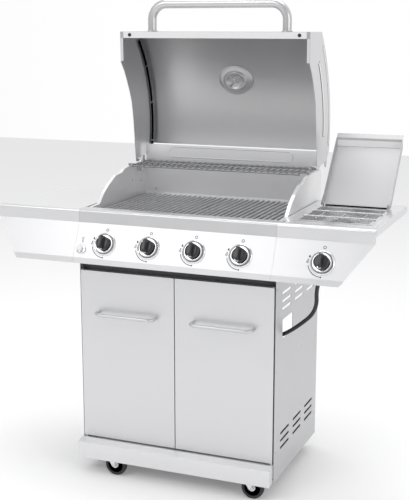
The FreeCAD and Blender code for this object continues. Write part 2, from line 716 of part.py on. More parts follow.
lid_z = D.side_axis_z + 24
axis_y, axis_z = D.side_axis_y, D.side_axis_z
side_sheet = plate("YZ", mid - D.side_half, mid + D.side_half, [
    (axis_y - 10, lid_z), (axis_y - 10, lid_z + S), (D.side_front + 34, lid_z + S),
    (D.side_front + 12.4, lid_z - 20), (D.side_front - 5, lid_z - 20),
    (D.side_front - 5, lid_z - 20 - S), (D.side_front + 13, lid_z - 20 - S),
    (D.side_front + 34.6, lid_z)])
side_cheeks = [plate("YZ", x, x + S, [
    (D.side_front + 16, lid_z - 24), (axis_y - 35, lid_z - 24), (axis_y - 8, axis_z - 8),
    (axis_y + 8, axis_z - 8), (axis_y + 8, axis_z + 8), (axis_y - 10, lid_z + 0.5),
    (D.side_front + 34, lid_z + 0.5), (D.side_front + 14, lid_z - 20.5)])
    for x in (mid - D.side_half, mid + D.side_half - S)]
side_bore = rod(D.side_pin_rad + D.fit, (mid - 120, axis_y, axis_z), 240, "x")
side_shell = cut(fuse(side_sheet, *side_cheeks), side_bore)
SIDE_OPEN = 130.6
side_shell.Placement = Placement(
    Vector(), Rotation(Vector(1, 0, 0), -SIDE_OPEN), Vector(0, axis_y.value, axis_z.value))
keep("side_lid", side_shell)

hinges = []
for side in (-1, 1):
    inward = mid + (D.side_half - 6) * side
    start = mid + (D.side_half - 7.5) * side if side > 0 else mid - D.side_half - 3
    hinges.append(fuse(
        box((inward - 1.5, inward + 1.5), (axis_y - 7, axis_y + 7), (D.top_z, axis_z + 5)),
        rod(D.side_pin_rad, (start, axis_y, axis_z), 10.5, "x")))
keep("side_hinge", group(*hinges))

# ---------------------------------------------------------------- hose
def bend_radii(points):
    """Each bend takes 0.45 of the shorter run beside it."""
    radii = []
    places = [Vector(*point) for point in points]
    for before, corner, after in zip(places, places[1:], places[2:]):
        turn = (corner - before).getAngle(after - corner)
        short = min((corner - before).Length, (after - corner).Length)
        radii.append(0.45 * short / math.tan(turn / 2))
    return radii


hose_bends = bend_radii(HOSE_ROUTE)
keep("hose", made(bent_tube(HOSE_ROUTE, sheet.get("hose_dia") / 2, hose_bends)))
print("hose bend radii", [round(radius) for radius in hose_bends])
hose_area = math.pi * (sheet.get("hose_dia") / 2) ** 2
print("hose length", round(nodes["hose"].Shape.Volume / hose_area))

# ---------------------------------------------------------------- main lid
open_turn = Placement(Vector(), Rotation(Vector(1, 0, 0), -90),
                      Vector(0, sheet.get("pivot_y"), sheet.get("pivot_z")))
cap_in = D.panel_half - 1.8
end_z = D.hood_z + 470.5
hood_sheet = plate("YZ", -cap_in, cap_in, [
    (D.lid_front + 22, D.lid_low), (D.lid_front + 22, D.lid_low + S),
    (D.lid_front + S, D.lid_low + S), (D.lid_front + S, D.lid_brow, D.hood_rad - S),
    (D.hood_end_y - S, end_z - S), (D.hood_end_y - S, end_z - 12), (D.hood_end_y, end_z - 12),
    (D.hood_end_y, end_z, -D.hood_rad), (D.lid_front, D.lid_brow), (D.lid_front, D.lid_low)])
gauge_turn = Rotation(Vector(1, 0, 0), 20)


def on_hood(radius, start, length):
    """A round bar along the gauge's axis, start measured from the hood's outside."""
    reach = sheet.get("hood_rad") + start
    angle = math.radians(20)
    place = (0, D.hood_y - reach * math.sin(angle), D.hood_z + reach * math.cos(angle))
    return rod(radius, place, length, turn=gauge_turn)


hood = cut(hood_sheet, on_hood(6, -12, 20))
hood.Placement = open_turn
keep("hood", hood)

LID_LINE = ((-158, 902), (-130, 925), (-98, 944), (-60, 964), (-20, 981), (18, 989), (66, 997),
            (130, 1003), (180, 1008))
cap = plate("YZ", cap_in, D.panel_half, [
    (D.lid_front, D.lid_low)] + [(sized(y), sized(z)) for y, z in LID_LINE] + [
    (201, 1012), (201, 1036), (188, 1056), (183, 1101, -62), (121, 1163, -D.hood_rad),
    (D.lid_front, D.lid_brow)])
cap_bore = rod(D.lid_pin_rad + D.fit, (D.panel_half - 10, D.pivot_y, D.pivot_z), 20, "x")
right_cap = cut(cap, cap_bore)
caps = group(right_cap, mirrored(right_cap))
caps.Placement = open_turn
keep("lid_caps", caps)

front = sheet.get("lid_front")
bar_y, bar_z = front - sheet.get("lid_grip_out"), sheet.get("lid_grip_z")
bar_half = sheet.get("lid_grip_half")
grip_tube = bent_tube([(-bar_half, front, bar_z), (-bar_half, bar_y, bar_z),
                       (bar_half, bar_y, bar_z), (bar_half, front, bar_z)],
                      sheet.get("lid_grip_rad"), [54, 54])
keep("lid_handle", made(grip_tube, open_turn))

gauge = fuse(on_hood(38, 1.2, 10.2), on_hood(5.6, -70, 72), on_hood(14, -9, 6))
gauge.Placement = open_turn
keep("gauge", gauge)

bumpers = group(*[rod(6, (x, D.lid_front + 11, D.lid_low - 1.8), 1.8) for x in (-306, 306)])
bumpers.Placement = open_turn
keep("lid_bumpers", bumpers)

# ---------------------------------------------------------------- casters
axle_z = D.wheel_rad
wheel_half = D.wheel_wide / 2
for index, (x, y) in enumerate(((-D.caster_x, D.caster_front_y), (D.caster_x, D.caster_front_y),
                                (-D.caster_x, D.caster_rear_y), (D.caster_x, D.caster_rear_y)),
                               start=1):
    axle_x = x + D.trail
    arms = []
    for low in (-wheel_half - 3, wheel_half + 1):
        arms.append(plate("XZ", y + low, y + low + 2, [
            (x - 2, D.caster_top), (x - 2, D.caster_top - 8), (axle_x - 9, axle_z - 6),
            (axle_x, axle_z - 10), (axle_x + 9, axle_z - 6), (x + 14, D.caster_top - 2),
            (x + 14, D.caster_top)]))
    crown = rod(14, (x, y, D.caster_top - 6), 6)
    post = rod(D.post_rad, (x, y, D.caster_top - 4), 15)
    axle = rod(D.axle_rad, (axle_x, y - wheel_half - 3, axle_z), D.wheel_wide + 6, "y")
    keep(f"caster_fork_{index}", fuse(*arms, crown, post, axle))
    tyre = rod(D.wheel_rad, (axle_x, y - wheel_half, axle_z), D.wheel_wide, "y")
    keep(f"caster_wheel_{index}", cut(
        tyre, rod(D.axle_rad + D.fit, (axle_x, y - wheel_half - 1, axle_z), D.wheel_wide + 2, "y")))

# ---------------------------------------------------------------- output
doc.recompute()
broken = [thing.Label for thing in doc.Objects
          if "Invalid" in thing.State or "Error" in thing.State]
if broken:
    raise RuntimeError(f"not built: {broken}")
os.makedirs("parts", exist_ok=True)
total = FreeCAD.BoundBox()
for name, thing in nodes.items():
    shape = thing.Shape
    if shape.isNull() or not shape.isValid() or shape.Volume <= 0:
        raise RuntimeError(f"{name} has no sound shape")
    total.add(shape.BoundBox)
    shape.exportStep(f"parts/{name}.step")
print(len(nodes), "nodes", total)
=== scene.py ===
import json
import math

import bmesh
import bpy
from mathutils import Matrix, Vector


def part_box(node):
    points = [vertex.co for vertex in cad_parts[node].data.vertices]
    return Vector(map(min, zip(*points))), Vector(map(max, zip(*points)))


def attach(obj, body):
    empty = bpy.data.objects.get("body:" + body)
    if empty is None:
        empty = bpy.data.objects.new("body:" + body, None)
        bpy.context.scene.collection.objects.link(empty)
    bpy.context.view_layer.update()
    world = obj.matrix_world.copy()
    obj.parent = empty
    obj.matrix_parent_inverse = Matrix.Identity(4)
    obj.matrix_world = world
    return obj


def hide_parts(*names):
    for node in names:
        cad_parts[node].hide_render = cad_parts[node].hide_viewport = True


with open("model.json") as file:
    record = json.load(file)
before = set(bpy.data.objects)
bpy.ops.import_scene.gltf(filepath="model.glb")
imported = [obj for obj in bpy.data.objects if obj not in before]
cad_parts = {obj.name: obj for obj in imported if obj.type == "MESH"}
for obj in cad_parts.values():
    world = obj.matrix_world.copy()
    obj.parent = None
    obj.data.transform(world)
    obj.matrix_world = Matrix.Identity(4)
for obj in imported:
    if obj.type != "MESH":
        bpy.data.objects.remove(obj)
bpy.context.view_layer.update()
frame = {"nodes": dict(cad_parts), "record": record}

# Looks of the gas grill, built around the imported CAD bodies.
# Lengths are in millimetres, except where a Blender setting needs metres.
MM = 0.001
NODES = frame["nodes"]
SLOT_OF = {part["node"]: part["material_slot"] for part in frame["record"]["subparts"]}
SIDES = ((-1, "left"), (1, "right"))
EX, EY, EZ = Vector((1, 0, 0)), Vector((0, 1, 0)), Vector((0, 0, 1))

# Places shared with the CAD part.
PIVOT_Y, PIVOT_Z = 189.5, 1022.5
HOOD_Y, HOOD_Z, HOOD_R = 67.9, 690.3, 477.0
BAND_Y, BAND_Z, FACE_Y, FACE_Z = -257.0, 861.0, -308.0, 753.0
LEAN = math.atan2(BAND_Y - FACE_Y, BAND_Z - FACE_Z)
OUT = Vector((0, -math.cos(LEAN), math.sin(LEAN)))
UP = Vector((0, math.sin(LEAN), math.cos(LEAN)))
KNOB_X = (-235.5, -78.5, 78.5, 235.5, 498.0)
KNOB_Z = 799.0
BUTTON_X, BUTTON_Z = -318, 779
SHELF_Z = 905
CABINET_HALF, CABINET_BACK = 345, 218
WALL_OUT, WALL_IN, REAR_WALL_Y = 340.2, 329, 238
CASTERS = ((-246, -285), (246, -285), (-246, 170), (246, 170))
WHEEL_R, TRAIL = 38, 38


# ------------------------------------------------------------------ materials
def node_material(name, colour, metallic=0.0, roughness=0.5, grain=None, fleck=0.0,
                  bump=0.0, scale=60.0, spread=0.06, coat=0.0):
    """A Principled material whose colour, roughness and bump come from noise.

    grain stretches the noise along one axis, as brushing does.  fleck is how far
    the roughness varies, and spread how far the colour does.
    """
    mat = bpy.data.materials.new(name)
    mat.use_nodes = True
    tree = mat.node_tree
    shader = tree.nodes["Principled BSDF"]
    shader.inputs["Metallic"].default_value = metallic
    shader.inputs["Coat Weight"].default_value = coat
    coords = tree.nodes.new("ShaderNodeTexCoord")
    stretch = tree.nodes.new("ShaderNodeMapping")
    stretch.inputs["Scale"].default_value = grain or (1, 1, 1)
    tree.links.new(coords.outputs["Object"], stretch.inputs["Vector"])
    fine = tree.nodes.new("ShaderNodeTexNoise")
    fine.inputs["Scale"].default_value = scale
    fine.inputs["Detail"].default_value = 6
    tree.links.new(stretch.outputs["Vector"], fine.inputs["Vector"])
    broad = tree.nodes.new("ShaderNodeTexNoise")
    broad.inputs["Scale"].default_value = 2.6
    broad.inputs["Detail"].default_value = 2
    tree.links.new(coords.outputs["Object"], broad.inputs["Vector"])
    both = tree.nodes.new("ShaderNodeMix")
    both.inputs["Factor"].default_value = 0.35
    tree.links.new(fine.outputs["Fac"], both.inputs["A"])
    tree.links.new(broad.outputs["Fac"], both.inputs["B"])
    ramp = tree.nodes.new("ShaderNodeValToRGB")
    dark = [max(c * (1 - spread), 0) for c in colour]
    light = [min(c * (1 + spread), 1) for c in colour]
    ramp.color_ramp.elements[0].position = 0.35
    ramp.color_ramp.elements[0].color = (*dark, 1)
    ramp.color_ramp.elements[1].position = 0.65
    ramp.color_ramp.elements[1].color = (*light, 1)
    tree.links.new(both.outputs["Result"], ramp.inputs["Fac"])
    tree.links.new(ramp.outputs["Color"], shader.inputs["Base Color"])
    rough = tree.nodes.new("ShaderNodeMapRange")
    rough.inputs["From Min"].default_value = 0.3
    rough.inputs["From Max"].default_value = 0.7
    rough.inputs["To Min"].default_value = max(roughness - fleck, 0.02)
    rough.inputs["To Max"].default_value = min(roughness + fleck, 1.0)
    tree.links.new(fine.outputs["Fac"], rough.inputs["Value"])
    tree.links.new(rough.outputs["Result"], shader.inputs["Roughness"])
    if bump:
        relief = tree.nodes.new("ShaderNodeBump")
        relief.inputs["Strength"].default_value = bump
        relief.inputs["Distance"].default_value = 0.0004
        tree.links.new(fine.outputs["Fac"], relief.inputs["Height"])
        tree.links.new(relief.outputs["Normal"], shader.inputs["Normal"])
    return mat


def brushed(name, colour, metallic, roughness, grain, spread=0.012, fleck=0.02):
    """Steel sheet or bar with fine lines along one axis."""
    return node_material(name, colour, metallic, roughness, grain, fleck, 0.03, 20, spread)


def plain(name, colour, metallic, roughness, fleck, bump, scale, spread, coat=0.0):
    """A surface with no grain."""
    return node_material(name, colour, metallic, roughness, None, fleck, bump, scale, spread, coat)


ALONG_X, ALONG_Y, ALONG_Z = (1, 90, 90), (90, 1, 90), (90, 90, 1)
brushed_x = brushed("brushed_along_x", (0.78, 0.78, 0.785), 0.8, 0.36, ALONG_X)
# The copies below are one stainless steel with base colours set part by part as painted light and
# shade: darker for the doors, control panel, side panels and side lid, lighter for the firebox walls.
brushed_z = brushed("brushed_along_z", (0.70, 0.70, 0.705), 0.75, 0.38, ALONG_Z, 0.010)
panel_steel = brushed("panel_sheet", (0.66, 0.66, 0.665), 0.7, 0.38, ALONG_X, 0.010)
side_steel = brushed("side_sheet", (0.56, 0.56, 0.57), 0.6, 0.42, ALONG_Y)
cap_steel = brushed("lid_cap_sheet", (0.66, 0.66, 0.67), 0.8, 0.34, ALONG_Y, 0.02)
lid_steel = brushed("lid_sheet", (0.50, 0.50, 0.505), 0.9, 0.34, ALONG_X)
side_lid_steel = brushed("side_lid_sheet", (0.56, 0.56, 0.565), 0.65, 0.45, ALONG_X)
wall_steel = brushed("firebox_sheet", (0.90, 0.90, 0.905), 0.8, 0.40, ALONG_Y)
bar_steel = brushed("satin_bar", (0.64, 0.64, 0.645), 0.8, 0.30, ALONG_X, 0.015, 0.03)
# A darker, glossier copy for the side burner's bowl and the plate round it: painted reflection of the
# open side lid.
well_steel = brushed("well_sheet", (0.72, 0.72, 0.725), 0.9, 0.26, ALONG_X, 0.02, 0.03)
wire_plated = plain("plated_wire", (0.60, 0.60, 0.61), 0.9, 0.26, 0.08, 0.05, 120, 0.06)
# A darker copy of the plated wire for the warming rack: painted shade.
rack_wire = plain("rack_wire", (0.30, 0.30, 0.305), 0.9, 0.34, 0.08, 0.05, 120, 0.08)
grate_steel = plain("grate_rod", (0.68, 0.68, 0.69), 0.8, 0.34, 0.10, 0.15, 150, 0.08)
# Dark steel for the bezel grooves, the lines beside the cap beads and the rear wall's outline:
# painted shade.
shade_steel = plain("groove_painted_shade", (0.22, 0.22, 0.225), 0.7, 0.45, 0.05, 0.05, 60, 0.05)
# Light steel for the cap beads, the lid's front lip and the side lid's sloping edge: painted
# highlight.
painted_highlight = plain("painted_highlight", (0.86, 0.86, 0.86), 0.3, 0.35, 0.03, 0.02, 60, 0.01)
galvanised = plain("galvanised_sheet", (0.62, 0.63, 0.64), 0.7, 0.45, 0.12, 0.08, 35, 0.10)
# Near-black for the recessed rails, standing in for the shade they sit in: painted shade; the base
# pan is given it too.
rail_shade_black = plain("rail_painted_shade", (0.09, 0.09, 0.095), 0.3, 0.55, 0.08, 0.10, 80, 0.15)
brass = plain("cast_brass", (0.72, 0.58, 0.30), 0.9, 0.35, 0.10, 0.15, 90, 0.10)
chrome = plain("polished_chrome", (0.88, 0.88, 0.89), 1.0, 0.12, 0.05, 0.02, 60, 0.02)
pressed = plain("pressed_fork", (0.80, 0.80, 0.81), 0.6, 0.35, 0.08, 0.06, 70, 0.05)
iron = plain("burner_iron", (0.30, 0.30, 0.305), 0.6, 0.50, 0.12, 0.45, 140, 0.20)
hub_grey = plain("hub_nylon", (0.70, 0.70, 0.71), 0.1, 0.40, 0.06, 0.08, 120, 0.05)
dial_white = plain("dial_enamel", (0.85, 0.85, 0.84), 0.0, 0.35, 0.04, 0.03, 90, 0.03)
ink = plain("printed_mark", (0.035, 0.035, 0.038), 0.0, 0.55, 0.05, 0.05, 200, 0.15)
knob_black = plain("moulded_black", (0.018, 0.018, 0.020), 0.0, 0.32, 0.06, 0.12, 260, 0.20, 0.25)
tyre_black = plain("tyre_tread", (0.022, 0.022, 0.024), 0.0, 0.62, 0.10, 0.35, 160, 0.25)
hose_black = plain("hose_rubber", (0.020, 0.020, 0.022), 0.0, 0.48, 0.08, 0.30, 220, 0.25)
# Black with no specular reflection, for the sheets in the cap slots and the strip behind the side
# burner: painted shadow.
shadow_black = plain("painted_shadow_sheet", (0.002, 0.002, 0.002), 0.0, 0.95, 0.05, 0.05, 80, 0.2)
shadow_black.node_tree.nodes["Principled BSDF"].inputs["Specular IOR Level"].default_value = 0.0

SLOT_MATERIAL = {
    "stainless": brushed_x,
    "satin_bar": bar_steel,
    "plated_wire": wire_plated,
    "grate_steel": grate_steel,
    "galvanised": galvanised,
    "brass": brass,
    "black_plastic": knob_black,
    "chrome_ring": chrome,
    "zinc_fork": pressed,
    "tyre": tyre_black,
    "rubber": hose_black,
}
NODES_OF_MATERIAL = (
    (side_steel, ("side_left", "side_right", "rear_panel")),
    (lid_steel, ("hood", "burners", "flame_tamers")),
    (cap_steel, ("lid_caps",)),
    (side_lid_steel, ("side_lid",)),
    (wall_steel, ("wall_left", "wall_right", "rear_wall")),
    (well_steel, ("side_bowl",)),
    (rack_wire, ("warming_rack",)),
    (panel_steel, ("control_panel", "left_fascia", "right_fascia")),
    (rail_shade_black, ("top_rails", "base_pan")),
    (brushed_z, ("door_left", "door_right")),
    (iron, ("side_burner_head",)),
    (dial_white, ("igniter_button",)),
)
NODE_MATERIAL = {node: material for material, nodes in NODES_OF_MATERIAL for node in nodes}
for name, thing in NODES.items():
    thing.data.materials.clear()
    thing.data.materials.append(NODE_MATERIAL.get(name) or SLOT_MATERIAL[SLOT_OF[name]])


# ------------------------------------------------------------------ builders
def finish_piece(obj, body, material, replaced=(), smooth=35):
    """Material, smooth shading, material slot and the CAD body that it rides on."""
    obj.data.materials.clear()
    obj.data.materials.append(material)
    if obj.type == "MESH":
        for polygon in obj.data.polygons:
            polygon.use_smooth = True
        edges = obj.modifiers.new("edges", "EDGE_SPLIT")
        edges.split_angle = math.radians(smooth)
    if replaced:
        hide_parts(*replaced)
    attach(obj, body)


def placed(name, data):
    """A new object in the scene."""
    obj = bpy.data.objects.new(name, data)
    bpy.context.scene.collection.objects.link(obj)
    return obj


def new_mesh(name, points, faces):
    """A mesh object from points in millimetres."""
    mesh = bpy.data.meshes.new(name)
    mesh.from_pydata([Vector(p) * MM for p in points], [], faces)
    mesh.validate()
    obj = placed(name, mesh)
    work = bmesh.new()
    work.from_mesh(mesh)
    bmesh.ops.recalc_face_normals(work, faces=work.faces)
    work.to_mesh(mesh)
    work.free()
    return obj


def bevelled(obj, width, segments=2):
    """Rounded edges, wherever two faces meet at more than 40 degrees."""
    bevel = obj.modifiers.new("bevel", "BEVEL")
    bevel.width = width * MM
    bevel.segments = segments
    bevel.limit_method = "ANGLE"
    bevel.angle_limit = math.radians(40)
    return obj


def axes_from(direction):
    """Two directions square to the given one, and that one at unit length."""
    n = Vector(direction).normalized()
    side = EX if abs(n.x) < 0.9 else EY
    u = (side - n * side.dot(n)).normalized()
    return u, n.cross(u), n


def ring_faces(rings, steps):
    """Quads between rings of points, each ring closed on itself."""
    faces = []
    for ring in range(rings - 1):
        for step in range(steps):
            following = (step + 1) % steps
            faces.append((ring * steps + step, ring * steps + following,
                          (ring + 1) * steps + following, (ring + 1) * steps + step))
    return faces


def lathe(profile, centre, direction, steps=48):
    """Points and faces of (radius, height) turned about a line."""
    u, v, n = axes_from(direction)
    centre = Vector(centre)
    points = []
    for radius, height in profile:
        for step in range(steps):
            angle = 2 * math.pi * step / steps
            points.append(centre + n * height
                          + (u * math.cos(angle) + v * math.sin(angle)) * max(radius, 0.01))
    faces = ring_faces(len(profile), steps)
    for ring in (0, len(profile) - 1):
        faces.append(tuple(ring * steps + step for step in range(steps)))
    return points, faces


def slab(outline, origin, u, v, n, low, high):
    """Points and faces of a flat outline in (u, v) given thickness along n."""
    origin = Vector(origin)
    points = [origin + u * a + v * b + n * level for level in (low, high) for a, b in outline]
    count = len(outline)
    faces = [tuple(range(count)), tuple(range(count, 2 * count))]
    for index in range(count):
        following = (index + 1) % count
        faces.append((index, following, count + following, count + index))
    return points, faces


def block(x0, x1, y0, y1, z0, z1):
    """Points and faces of an upright box."""
    return slab([(x0, y0), (x1, y0), (x1, y1), (x0, y1)], (0, 0, 0), EX, EY, EZ, z0, z1)


def joined(*shapes):
    """Several (points, faces) pairs as one."""
    points, faces = [], []
    for more_points, more_faces in shapes:
        base = len(points)
        points += more_points
        faces += [tuple(base + index for index in face) for face in more_faces]
    return points, faces


def tube(name, points, radius, resolution):
    """A round bar along a polyline, as a mesh."""
    curve = bpy.data.curves.new(name, "CURVE")
    curve.dimensions = "3D"
    spline = curve.splines.new("POLY")
    spline.points.add(len(points) - 1)
    for target, point in zip(spline.points, points):
        target.co = (*(Vector(point) * MM), 1)
    curve.bevel_depth = radius * MM
    curve.bevel_resolution = resolution
    curve.use_fill_caps = True
    holder = placed(name + "_line", curve)
    bpy.context.view_layer.update()
    mesh = bpy.data.meshes.new_from_object(holder)
    bpy.data.objects.remove(holder)
    return placed(name, mesh)


def rounded_path(corners, bend, steps):
    """A polyline with each corner turned on an arc of the given radius."""
    corners = [Vector(c) for c in corners]
    path = [corners[0]]
    for before, corner, after in zip(corners, corners[1:], corners[2:]):
        back, ahead = (before - corner).normalized(), (after - corner).normalized()
        half = back.angle(ahead) / 2
        reach = bend / math.tan(half)
        middle = corner + (back + ahead).normalized() * bend / math.sin(half)
        a = corner + back * reach - middle
        b = corner + ahead * reach - middle
        sweep = a.angle(b)
        for step in range(steps + 1):
            share = step / steps
            path.append(middle + (a * math.sin((1 - share) * sweep)
                                  + b * math.sin(share * sweep)) / math.sin(sweep))
    path.append(corners[-1])
    return path


def on_circle(radius, degrees):
    """A point of a circle about (0, 0)."""
    angle = math.radians(degrees)
    return radius * math.cos(angle), radius * math.sin(angle)


def opened(x, y, z):
    """A point of the closed lid carried to its open place."""
    return Vector((x, PIVOT_Y + (z - PIVOT_Z), PIVOT_Z - (y - PIVOT_Y)))


def on_hood(x, angle, radius):
    """A point by its angle around the hood's curve (degrees back from upright)."""
    turn = math.radians(angle)
    return opened(x, HOOD_Y + radius * math.sin(turn), HOOD_Z + radius * math.cos(turn))


def face_point(x, z):
    """A point on the leaning control face."""
    return Vector((x, BAND_Y + (z - BAND_Z) * (FACE_Y - BAND_Y) / (FACE_Z - BAND_Z), z))


BUTTON = face_point(BUTTON_X, BUTTON_Z)


# ------------------------------------------------------------------ printed marks
def arc_band(radius, width, start, end, steps=20):
    """Outline of a band along an arc."""
    turns = [start + (end - start) * k / steps for k in range(steps + 1)]
    outer = [on_circle(radius + width / 2, turn) for turn in turns]
    inner = [on_circle(radius - width / 2, turn) for turn in turns]
    return outer + inner[::-1]


def shifted(outline, du, dv, size=1.0):
    """An outline scaled and then moved."""
    return [(u * size + du, v * size + dv) for u, v in outline]


FLAME = [(0, -5), (2.6, -4), (3.6, -1.2), (2.6, 1.6), (1.0, 3.4), (1.2, 6), (-0.8, 4.4),
         (-2.4, 1.8), (-3.6, -1), (-2.6, -4)]
SPARK = [(1.5, 6), (-3, 0), (-0.2, 0), (-1.5, -6), (3, 0.6), (0.2, 0.6)]
MARK_R = 44.5
INK_LOW, INK_HIGH = 0.02, 0.22


def control_marks():
    """The arc, rings and flames round each dial, and the igniter's spark."""
    dial_figures = [
        arc_band(MARK_R, 2.2, 193, 266),
        shifted(arc_band(1.3, 2.4, 0, 359), 0, -MARK_R),
        shifted(arc_band(4.2, 1.8, 0, 359), 1.5, 48.5),
        shifted(arc_band(3.6, 2.0, 0, 359, 4), -46.5, 0),
        shifted(FLAME, -45, 7, 0.55),
        shifted(FLAME, -41.5, 18, 0.85),
    ]
    button_figures = [shifted(SPARK, 1, 27, 1.1), shifted(arc_band(3.4, 1.6, 30, 330), 1, 37)]
    spots = [(face_point(x, KNOB_Z), dial_figures) for x in KNOB_X] + [(BUTTON, button_figures)]
    marks = [slab(figure, at, EX, UP, OUT, INK_LOW, INK_HIGH)
             for at, figures in spots for figure in figures]
    finish_piece(new_mesh("control_marks", *joined(*marks)), "cart", ink)


control_marks()

# ------------------------------------------------------------------ bezels, dials, igniter
RING = [(8.1, 0.2), (38.6, 0.2), (39.0, 0.9), (38.6, 2.6), (37.4, 4.0), (35.6, 4.8), (33.8, 4.4),
        (33.0, 3.0), (31.4, 3.0), (30.8, 7.6), (30.0, 9.2), (28.8, 9.8), (27.4, 9.6), (26.6, 8.8),
        (26.2, 8.2), (8.1, 8.0), (8.1, 0.2)]
# A dark ring in the bezel's groove: painted shade.
GROOVE_SHADE = [(31.2, 2.6), (34.2, 2.6), (34.2, 4.45), (31.2, 3.4), (31.2, 2.6)]
COLLAR = [(7.65, 0.1), (15.4, 0.1), (16.0, 0.9), (15.7, 3.0), (14.2, 4.6), (12.2, 5.0),
          (11.2, 4.2), (10.8, 2.6), (7.65, 2.6), (7.65, 0.1)]
SKIRT = [(6, 12.2), (23.0, 12.2), (23.8, 13.0), (24.0, 14.5), (23.6, 18.5), (22.6, 20.4),
         (20.6, 21.6), (15, 22.4), (4.2, 22.8), (4.2, 14), (6, 12.2)]
GRIP_LEVELS = ((19, 8.6, 21.6), (24, 8.2, 22.2), (30, 7.0, 21.8), (36, 6.2, 21.0),
               (41, 5.6, 19.6), (43.6, 4.2, 17.0))
POINTER = [(-8.2, -21.4), (-1.5, -23.4), (4.6, -22.0), (5.2, -16.8), (-1.5, -14.4), (-8.0, -15.4)]
BUTTON_CAP = [(7.5, -11), (7.5, 8.2), (9.6, 8.6), (10.4, 10.0), (10.4, 14.6), (9.6, 16.6),
              (7.6, 17.4), (0, 17.5)]


def bezels():
    """The dished rings round the dials, with a ring in each groove painted dark as shade and dark
    reflection, and the collar.
    """
    grooves = [lathe(GROOVE_SHADE, face_point(x, KNOB_Z), OUT, 64) for x in KNOB_X]
    finish_piece(new_mesh("bezel_groove_shades", *joined(*grooves)), "cart", shade_steel)
    rings = [lathe(RING, face_point(x, KNOB_Z), OUT, 64) for x in KNOB_X]
    rings.append(lathe(COLLAR, BUTTON, OUT, 40))
    rings_piece = new_mesh("bezel_rings", *joined(*rings))
    finish_piece(rings_piece, "cart", chrome, ["bezels"])


def knob_grip(at, steps=32):
    """The tall finger grip: rounded oblong rings, waisted above the first."""
    points = []
    for level, half_w, half_l in GRIP_LEVELS:
        for step in range(steps):
            angle = 2 * math.pi * step / steps
            c, s = math.cos(angle), math.sin(angle)
            a = half_w * math.copysign(abs(c) ** 0.55, c)
            b = half_l * math.copysign(abs(s) ** 0.75, s)
            waist = 1 - 0.16 * math.cos(math.pi * b / half_l / 2) ** 2 if level > 20 else 1
            points.append(at + EX * (a * waist) + UP * b + OUT * level)
    faces = ring_faces(len(GRIP_LEVELS), steps)
    faces += [tuple(range(steps)), tuple(range(len(points) - steps, len(points)))]
    return points, faces


def knob(index, x):
    """A moulded dial: round skirt, finger grip with ribs, and a bright pointer end."""
    at = face_point(x, KNOB_Z)
    body = f"dial_{index}"
    skirt = new_mesh(f"knob_skirt_{index}", *lathe(SKIRT, at, OUT, 56))
    finish_piece(skirt, body, knob_black, [f"knob_{index}"])
    grip = new_mesh(f"knob_grip_{index}", *knob_grip(at))
    finish_piece(grip, body, knob_black, smooth=50)
    ridges = [slab([(offset - 0.8, 13), (offset + 0.8, 13), (offset + 0.8, 22.5),
                    (offset - 0.8, 22.5)], at, EX, UP, OUT, 20, 38)
              for offset in (-3.2, 0.6, 4.4)]
    ribs = bevelled(new_mesh(f"knob_ribs_{index}", *joined(*ridges)), 0.5)
    finish_piece(ribs, body, knob_black)
    pointer = slab(POINTER, at, EX, UP, OUT, 21, 29)
    insert = bevelled(new_mesh(f"knob_pointer_{index}", *pointer), 1.2, 3)
    finish_piece(insert, body, chrome)


bezels()
for index, x in enumerate(KNOB_X, start=1):
    knob(index, x)
button = new_mesh("igniter_cap", *lathe(BUTTON_CAP, BUTTON, OUT, 36))
finish_piece(button, "igniter", dial_white, ["igniter_button"])

# ------------------------------------------------------------------ temperature gauge
GAUGE_ANGLE = -20
DISH = ((0, 6.5), (10, 6.5), (24, 7.0), (30, 7.6), (33, 11.0), (36, 12.4), (39.5, 12.0),
        (41.5, 8.0), (44, 5.6), (50, 5.0), (56, 4.4), (60, 2.6), (63, 0.8), (65, 0.1))
DISH_SQUASH = 0.86
STEM = [(4.6, -8), (4.6, -20), (3.2, -21), (3.2, -66), (1.8, -69.5), (0, -69.8)]
STUD = [(3.2, -7.5), (3.2, -10), (2.4, -11), (0, -11.4)]
RIM = [(6, 0.6), (37.4, 0.6), (38, 1.4), (38, 8.6), (37.2, 10.6), (35.4, 11.3), (33.8, 10.4),
       (33.4, 8.6), (6, 8.4), (6, 0.6)]
DIAL = [(0, 8.5), (33.2, 8.5), (33.2, 8.9), (0, 8.9)]
PIN = [(2.6, 8.9), (2.6, 10.1), (0, 10.4)]


def gauge_dish(steps=56):
    """The pressed oval dish inside the hood that the gauge is fixed in."""
    points = []
    for radius, rise in DISH:
        for step in range(steps):
            angle = 2 * math.pi * step / steps
            along = math.degrees(DISH_SQUASH * radius * math.sin(angle) / HOOD_R)
            points.append(on_hood(radius * math.cos(angle), GAUGE_ANGLE + along,
                                  HOOD_R - 1.5 - rise))
    dish = new_mesh("gauge_dish", points, ring_faces(len(DISH), steps))
    wall = dish.modifiers.new("wall", "SOLIDIFY")
    wall.thickness = 0.6 * MM
    finish_piece(dish, "lid", lid_steel, smooth=60)


